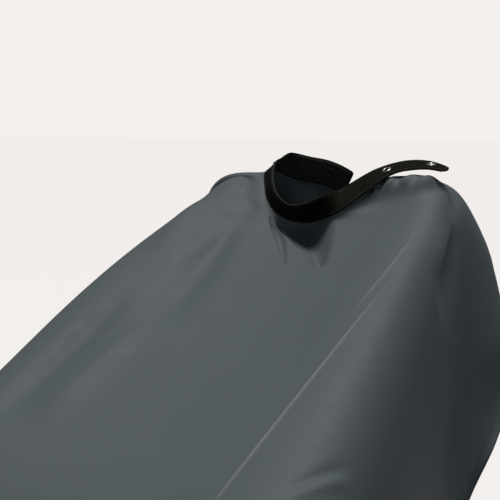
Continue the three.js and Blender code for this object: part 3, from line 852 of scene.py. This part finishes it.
POCKETS = [  # line from its tip to the neck, step at the line, depth, width at the neck
    ([(214, -42), (38, -60)], 11, 32, 110),
    ([(182, -76), (36, -66)], 4, 7, 28),
]
POCKET_EDGE = 2.2
POCKET_TIP_WIDTH = 0.15  # of the width at the neck
POCKET_TIP_DEPTH = 0.35  # of the depth at the neck
POCKET_FALL = 0.4  # of the width, over which the floor falls to its depth
SHOULDER_RIDGE = [(14, 82), (128, 152)]  # the cloth stands up along the tab's lower edge
SHOULDER_RIDGE_HEIGHT = 14
SHOULDER_RIDGE_HALF = 24
PUCKER_COUNT = 5
PUCKER_SHARE = 0.16  # of the ridge's height
PUCKER_HALF = 14
# Shares of each kind's line, over which it fades in and out.
CREASE_FADE, HIGHLIGHT_FADE, FOLD_FADE, POCKET_FADE, RIDGE_FADE = 0.25, 0.3, 0.35, 0.1, 0.2
CREASE_HIGHLIGHT = 0.4  # painted highlight for each millimetre of a press crease's height
SEAM_FREE = 14  # from the seam, over which folds rise to their full height


def from_line(flat, line):
    """Signed distance to the right of a line, and the share of the way along it."""
    start, end = (np.array(point, float) for point in line)
    run = end - start
    length = np.linalg.norm(run)
    across = np.array([run[1], -run[0]]) / length
    return (flat - start) @ across, (flat - start) @ run / length**2


def taper(share, soft):
    """1 along a line, falling to 0 at its ends over a share of its length."""
    return smooth(share, 0, soft) * (1 - smooth(share, 1 - soft, 1))


def ridge(across, half):
    """1 on a line, falling away on both sides of it."""
    return np.exp(-((across / half) ** 2))


def crease_highlight(flat):
    """How pale the colour is painted along the press creases: a painted highlight where each crease catches
    the light.
    """
    highlight = np.zeros(len(flat))
    for line, height, half in PRESS_CREASES:
        across, share = from_line(flat, line)
        highlight += CREASE_HIGHLIGHT * height * ridge(across, half) * taper(share, HIGHLIGHT_FADE)
    return highlight


def fold_heights(flat):
    """How far the folds lift points of the flat panel off the drape."""
    height = np.zeros(len(flat))
    for line, lift, half in PRESS_CREASES:
        across, share = from_line(flat, line)
        height += lift * ridge(across, half) * taper(share, CREASE_FADE)
    for line, lift, start_half, end_half in SOFT_FOLDS:
        across, share = from_line(flat, line)
        half = start_half + (end_half - start_half) * np.clip(share, 0, 1)
        height += lift * ridge(across, half) * taper(share, FOLD_FADE)
    for line, step, depth, width in POCKETS:
        across, share = from_line(flat, line)
        from_tip = np.clip(share, 0, 1)
        reach = width * (POCKET_TIP_WIDTH + (1 - POCKET_TIP_WIDTH) * from_tip)
        fall = POCKET_FALL * reach
        floor = step + (depth - step) * smooth(across, 0, fall)
        floor *= POCKET_TIP_DEPTH + (1 - POCKET_TIP_DEPTH) * from_tip
        walls = smooth(across, 0, POCKET_EDGE) * (1 - smooth(across, fall, reach))
        height -= floor * walls * taper(share, POCKET_FADE)
    across, share = from_line(flat, SHOULDER_RIDGE)
    puckers = 1 + PUCKER_SHARE * np.sin(share * PUCKER_COUNT * 2 * math.pi) * ridge(across, PUCKER_HALF)
    lift = SHOULDER_RIDGE_HEIGHT * puckers * ridge(across, SHOULDER_RIDGE_HALF)
    height += lift * taper(share, RIDGE_FADE)
    from_seam = np.linalg.norm(flat, axis=1) - neck_radius
    return height * smooth(from_seam, 0, SEAM_FREE)


sim_points = draped_panel()
sim_normals = grid_normals(sim_points)
sim_rows, sim_columns = sim_points.shape[0] - 1, sim_points.shape[1] - 1


def on_cloth(flat):
    """Places and normals of points of the flat panel on the draped one."""
    row, column = grid_place(flat, sim_rows, sim_columns)
    normals = unit(sample_grid(sim_normals, row, column))
    return sample_grid(sim_points, row, column) + normals * fold_heights(flat)[:, None], normals


cuts = [(line, [half * k for k in range(-2, 3)]) for line, _, half in PRESS_CREASES]
cuts += [(line, [0, POCKET_EDGE / 2, POCKET_EDGE]) for line, *_ in POCKETS]
panel_flat, panel_faces = flat_mesh(sim_columns * DETAIL_FACTOR, sim_rows * DETAIL_FACTOR, cuts)
panel_points, panel_normals = on_cloth(panel_flat)
panel = add_mesh("cape_cloth", panel_points, panel_faces, nylon)
add_uv(panel, panel_flat)
# The press creases get a painted highlight.
add_attribute(panel, "crease_highlight", crease_highlight(panel_flat))
thicken = panel.modifiers.new("cloth thickness", "SOLIDIFY")
thicken.thickness = CLOTH_THICKNESS * MM
thicken.offset = 0
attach(panel, "cape")
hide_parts("cape_panel")

# ---- The neckband ----
BAND_FOOT = -1.5  # band's lower edge from the seam line, which it covers
TAB_CORNER = 10
END_CORNER = 4
EDGE_ROLL = 1.3
# Strength of the painted highlight along the band's top rolled edge, where it faces the light.
TOP_EDGE_HIGHLIGHT = 0.45
BAND_STEP = 2.0
LINING_INSET = 2.2
LINING_THICKNESS = 0.8
STITCH_PITCH = 3.4
STITCH_LENGTH = 2.7
STITCH_INSET = 3.6
STITCH_LIFT = 0.05
LINE_STEP = 1.0
END_STEPS, TAB_END_STEPS = 8, 14  # round the corners at the band's left end and at the tab's
EDGE_STEPS, FACE_STEPS = 5, 11  # across each quarter of a rolled edge, and across a face
FACE_CROWN = 0.25
LINING_LAP = 0.1  # how far the lining reaches into the leatherette
LINING_ROLL = 0.4


def band_span(distance, inset=0.0):
    """Lowest and highest rise of the band at distances along it, with its rounded corners."""
    width = band_frames(distance)["width"]
    to_end = np.clip(route_length - inset - distance, 0, TAB_CORNER)
    to_start = np.clip(distance - inset, 0, END_CORNER)
    corner = TAB_CORNER - np.sqrt(TAB_CORNER**2 - (TAB_CORNER - to_end) ** 2)
    corner = np.maximum(corner, END_CORNER - np.sqrt(END_CORNER**2 - (END_CORNER - to_start) ** 2))
    return BAND_FOOT + inset + corner, width - inset - corner


def band_distances(inset=0.0):
    """Even steps along the band, with extra ones where its ends are rounded."""
    start, end = inset, route_length - inset
    middle = np.linspace(start + END_CORNER, end - TAB_CORNER, round(route_length / BAND_STEP))
    first = start + END_CORNER * (1 - np.cos(np.linspace(0, math.pi / 2, END_STEPS)))[:-1]
    last = end - TAB_CORNER * (1 - np.sin(np.linspace(0, math.pi / 2, TAB_END_STEPS)))[1:]
    return np.concatenate([first, middle, last])


def on_band(frames, rise, depth):
    return frames["point"] + frames["up"] * rise[:, None] + frames["out"] * np.asarray(depth)[:, None]


def add_strip(name, inset, inner, outer, roll, material):
    """A closed strip of the band between two depths, with edges rolled to a radius."""
    distance = band_distances(inset)
    frames = band_frames(distance)
    low, high = band_span(distance, inset)
    middle, half = (low + high) / 2, (high - low) / 2
    roll = min(roll, (outer - inner) / 2)
    quarter = np.linspace(0, math.pi / 2, EDGE_STEPS)
    face = np.linspace(-1, 1, FACE_STEPS + 2)[1:-1]
    section = [(1, math.cos(a), math.sin(a)) for a in quarter]
    section += [(-s, None, 1) for s in face]
    section += [(-1, math.sin(a), math.cos(a)) for a in quarter]
    section += [(-1, math.cos(a), -math.sin(a)) for a in quarter]
    section += [(s, None, -1) for s in face]
    section += [(1, math.sin(a), -math.cos(a)) for a in quarter]
    rings, flat, highlight = [], [], []
    for side, bulge, depth in section:
        reach = half - np.minimum(roll, half)
        if bulge is None:
            rise = middle + side * reach
            level = (outer if depth > 0 else inner) + FACE_CROWN * (1 - side**2) * depth
            highlight.append(np.full(len(distance), 0.0))
        else:
            rise = middle + side * (reach + np.minimum(roll, half) * bulge)
            level = (outer + inner) / 2 + ((outer - inner) / 2 - roll) * np.sign(depth) + roll * depth
            # A painted highlight on the upper rolled edge only.
            highlight.append(np.full(len(distance), bulge * TOP_EDGE_HIGHLIGHT * (side > 0)))
        rings.append(on_band(frames, rise, np.full(len(distance), level)))
        flat.append(np.stack([distance, rise + BAND_WIDTH * (depth < 0)], axis=1))
    points = np.stack(rings, axis=1)
    count = len(section)
    faces = [face[::-1] for face in grid_faces(len(distance), count, closed=True)]
    faces.append(tuple(range(count)))
    faces.append(tuple(len(distance) * count - 1 - k for k in range(count)))
    strip = add_mesh(name, points, faces, material)
    add_uv(strip, np.stack(flat, axis=1).reshape(-1, 2))
    add_attribute(strip, "edge_highlight", np.stack(highlight, axis=1))
    return strip


outer_face = BAND_THICKNESS / 2

layer_line = LINING_THICKNESS - outer_face
lining_top = layer_line + LINING_LAP
band = add_strip("neckband_leatherette", 0, layer_line, outer_face, EDGE_ROLL, leatherette)
band_lining = add_strip("neckband_lining_cloth", LINING_INSET, -outer_face, lining_top, LINING_ROLL, lining)
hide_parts("neckband_outer", "tab_outer", "neckband_interlining", "tab_interlining")
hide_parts("neckband_lining", "tab_lining")


def edge_line(at_top, depth):
    """Points and normals of a line inside the band's top or bottom edge."""
    distance = np.arange(STITCH_INSET, route_length - STITCH_INSET, LINE_STEP)
    frames = band_frames(distance)
    low, high = band_span(distance)
    rise = high - STITCH_INSET if at_top else low + STITCH_INSET
    return on_band(frames, rise, np.full(len(distance), depth)), frames["out"] * np.sign(depth)


def end_line(distance, depth):
    """Points and normals of a line across the band."""
    here = frame_at(distance)
    low, high = band_span(np.array([distance]))
    rise = np.arange(low[0] + STITCH_INSET, high[0] - STITCH_INSET, LINE_STEP)
    points = here["point"] + here["up"] * rise[:, None] + here["out"] * depth
    return points, np.tile(here["out"] * np.sign(depth), (len(rise), 1))


band_rows = []
for depth in (outer_face + STITCH_LIFT, -outer_face - STITCH_LIFT):
    lines = [edge_line(at_top, depth) for at_top in (True, False)]
    lines += [end_line(distance, depth) for distance in (STITCH_INSET, route_length - STITCH_INSET)]
    band_rows += [(*line, STITCH_PITCH, STITCH_LENGTH) for line in lines]
band_stitches = add_stitches("neckband_stitching", band_rows, thread)
for piece in (band, band_lining, band_stitches):
    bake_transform(piece)

# ---- The snaps ----
ROUND_SIDES = 56
RING_OUTER = 6.5
RING_INNER = 3.7
RING_DOME = 1.1
RING_SINK = 0.3
RING_STEPS = 15
FLANGE_RADIUS = 5.5
FLANGE_THICKNESS = 0.6
STUD_NECK = 1.4
STUD_HEAD = 1.8
STUD_HEIGHT = 2.2
STUD_ROUND = 0.5
STUD_CROWN = 0.66
STUD_SWELL = 0.1  # from the stud's height up to its head's widest point
SOCKET_RADIUS = 3.7
SOCKET_HEIGHT = 2.4
SOCKET_WALL = 0.5
SOCKET_AIR = 0.3  # round the stud's head
SOCKET_LIP = 0.6
LIP_BEVEL = 0.2
SNAP_SINK = 0.1  # a snap's base is sunk this far in the band
AXIS = 0.001  # radius of a profile's ends, which the weld closes
WELD_REACH = 0.00001
SPRING_RADIUS = 2.45
SPRING_WIRE = 0.3


def arc(centre, radius, start, end, steps):
    """Points of a profile round an arc, from one angle to another in degrees."""
    angle = np.radians(np.linspace(start, end, steps))
    return [(centre[0] + radius * math.cos(a), centre[1] + radius * math.sin(a)) for a in angle]


def add_lathe(name, profile, distance, outside, material, closed=False):
    """A turned piece standing on the band's outer or inner face at a distance along the seam."""
    here = frame_at(distance)
    way = 1 if outside else -1
    middle = here["point"] + here["up"] * (SEAM_GAP + here["width"]) / 2 + here["out"] * outer_face * way
    angle = np.linspace(0, 2 * math.pi, ROUND_SIDES, endpoint=False)
    spoke = np.outer(np.cos(angle), here["along"]) * way + np.outer(np.sin(angle), here["up"])
    profile = profile + ([profile[0]] if closed else [])
    rings = [middle + spoke * radius + here["out"] * way * level for radius, level in profile]
    faces = grid_faces(len(profile), ROUND_SIDES, closed=True)
    piece = add_mesh(name, np.vstack(rings), faces, material)
    weld = piece.modifiers.new("weld", "WELD")
    weld.merge_threshold = WELD_REACH
    return piece


def ring_profile():
    """A domed open ring, rolled down at both rims."""
    middle, half = (RING_OUTER + RING_INNER) / 2, (RING_OUTER - RING_INNER) / 2
    angles = np.linspace(0, math.pi, RING_STEPS)
    top = [(middle + half * math.cos(a), RING_DOME * math.sin(a)) for a in angles]
    return top + [(RING_INNER, -RING_SINK), (RING_OUTER, -RING_SINK)]


def flange_profile():
    """The round flange under a stud or a socket, from the axis out and up to its top face."""
    half = FLANGE_THICKNESS / 2
    return [(AXIS, -SNAP_SINK)] + arc((FLANGE_RADIUS - half, half), half, -90, 90, 7)


def stud_profile():
    neck = arc((STUD_NECK + STUD_ROUND, FLANGE_THICKNESS + STUD_ROUND), STUD_ROUND, 270, 180, 6)
    head = arc((STUD_HEAD - STUD_ROUND, STUD_HEIGHT + STUD_SWELL), STUD_ROUND, -40, 90, 9)
    return flange_profile() + neck + head + [(AXIS, STUD_HEIGHT + STUD_CROWN)]


def socket_profile():
    inside = SOCKET_RADIUS - SOCKET_WALL
    bore = STUD_HEAD + SOCKET_AIR
    lip = SOCKET_HEIGHT - SOCKET_LIP
    return (
        flange_profile() + [(SOCKET_RADIUS, FLANGE_THICKNESS + 0.05)]
        + arc((inside, SOCKET_HEIGHT - SOCKET_WALL), SOCKET_WALL, 0, 90, 7)
        + [(bore + LIP_BEVEL, SOCKET_HEIGHT), (bore, SOCKET_HEIGHT - LIP_BEVEL), (bore, lip)]
        + [(inside, lip - 0.1), (inside, SOCKET_WALL), (AXIS, SOCKET_WALL)]
    )


def spring_profile():
    return arc((SPRING_RADIUS, (SOCKET_HEIGHT + LIP_BEVEL) / 2), SPRING_WIRE, 0, 360, 11)[:-1]


snap_materials = {"nickel": nickel, "black_enamel": enamel, "spring_steel": spring_steel}


def add_snap_piece(name, node, body, slot, profile, distance, outside, closed=False):
    piece = add_lathe(name, profile, distance, outside, snap_materials[slot], closed)
    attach(piece, body)
    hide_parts(node)


STUD_PIECES = [  # piece, node, slot, profile, on the outer face, a closed profile
    ("stud_metal", "stud", "nickel", stud_profile(), True, False),
    ("stud_back_ring", "stud_ring", "black_enamel", ring_profile(), False, True),
]
SOCKET_PIECES = [
    ("tab_open_ring", "tab_ring", "nickel", ring_profile(), True, True),
    ("socket_metal", "socket", "nickel", socket_profile(), False, False),
    ("socket_spring_wire", "socket_spring", "spring_steel", spring_profile(), False, True),
]
for pieces, body, count, first in (
    (STUD_PIECES, "cape", STUD_COUNT, STUD_FIRST),
    (SOCKET_PIECES, "tab", SOCKET_COUNT, seam_length + TAB_FIRST_SNAP),
):
    for k in range(count):
        for name, node, slot, profile, outside, closed in pieces:
            at = first + k * SNAP_PITCH
            add_snap_piece(f"{name}_{k + 1}", f"{node}_{k + 1}", body, slot, profile, at, outside, closed)

# ---- The hem ----
HEM_PITCH = 4.2
HEM_STITCH = 3.3
HEM_STEPS = 1400
SLIT_START = 4  # from the neck seam to the first stitch beside the slit
SLIT_STEPS = 120


def hem_line(inset):
    """Points and normals of a line on the cloth at an even distance inside its hem."""
    rim = cut_outline(HEM_STEPS)
    flat = rim - unit(rim) * inset
    flat[0, 0], flat[-1, 0] = -SLIT_HALF, SLIT_HALF
    return on_cloth(flat)


def slit_line(side, inset):
    """Points and normals of a line beside the back slit, from the neck to the hem."""
    reach = np.linspace(neck_radius + SLIT_START, CUT_BACK - inset, SLIT_STEPS)
    return on_cloth(np.stack([np.full(len(reach), side * inset), reach], axis=1))


hem_rows = []
for points, normals in (hem_line(HEM_WIDTH), slit_line(-1, HEM_WIDTH), slit_line(1, HEM_WIDTH)):
    for way in (1, -1):
        face = points + normals * CLOTH_THICKNESS / 2 * way
        hem_rows.append((face, normals * way, HEM_PITCH, HEM_STITCH))
hem_stitches = add_stitches("hem_stitching", hem_rows, thread)
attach(hem_stitches, "cape")

# ---- Floor, light and camera ----
FLOOR_DROP = 4  # mm under the lowest hem
FLOOR_HALF = 40000


def add_floor():
    nodes = Nodes("floor")
    nodes.set(
        Base_Color=nodes.mix_colour(nodes.noise(nodes.place, 0.4, 2.0), *FLOOR),
        Roughness=0.85,
    )
    level = panel_points[..., 2].min() - FLOOR_DROP
    corners = [(-FLOOR_HALF, -FLOOR_HALF, level), (FLOOR_HALF, -FLOOR_HALF, level),
               (FLOOR_HALF, FLOOR_HALF, level), (-FLOOR_HALF, FLOOR_HALF, level)]
    floor = add_mesh("floor", corners, [(0, 1, 2, 3)], nodes.material, smooth_shaded=False)
    floor.visible_diffuse = False
    floor.visible_glossy = False


def add_sun(name, towards, strength, angle):
    """A soft distant light that shines from the way given."""
    light = bpy.data.lights.new(name, "SUN")
    light.energy = strength
    light.angle = math.radians(angle)
    obj = bpy.data.objects.new(name, light)
    obj.rotation_euler = Vector(towards).to_track_quat("Z", "Y").to_euler()
    bpy.context.scene.collection.objects.link(obj)


def add_world(colour, lighting):
    """A world seen in one colour that lights the cape with another."""
    world = bpy.data.worlds.new("studio")
    world.use_nodes = True
    tree = world.node_tree
    seen = tree.nodes["Background"]
    seen.inputs["Color"].default_value = colour
    fill = tree.nodes.new("ShaderNodeBackground")
    fill.inputs["Color"].default_value = lighting
    path = tree.nodes.new("ShaderNodeLightPath")
    mix = tree.nodes.new("ShaderNodeMixShader")
    tree.links.new(path.outputs["Is Camera Ray"], mix.inputs["Fac"])
    tree.links.new(fill.outputs["Background"], mix.inputs[1])
    tree.links.new(seen.outputs["Background"], mix.inputs[2])
    tree.links.new(mix.outputs["Shader"], tree.nodes["World Output"].inputs["Surface"])
    bpy.context.scene.world = world


def add_camera(azimuth, elevation, distance, lens, look_at):
    camera = bpy.data.objects.new("camera", bpy.data.cameras.new("camera"))
    camera.data.lens = lens
    camera.data.clip_end = 200
    a, e = math.radians(azimuth), math.radians(elevation)
    back = Vector((math.sin(a) * math.cos(e), -math.cos(a) * math.cos(e), math.sin(e)))
    camera.location = (Vector(look_at) + back * distance) * MM
    camera.rotation_euler = back.to_track_quat("Z", "Y").to_euler()
    bpy.context.scene.collection.objects.link(camera)
    bpy.context.scene.camera = camera


add_floor()
add_sun("key", towards=(0.0, 0.04, 1.0), strength=2.8, angle=30)
add_world(colour=(0.905, 0.871, 0.847, 1), lighting=(0.145, 0.16, 0.175, 1))
add_camera(azimuth=29.0, elevation=7.4, distance=1584.9, lens=77.26, look_at=(-107.1, 0.0, -113.8))
bpy.context.scene.view_settings.view_transform = "Standard"
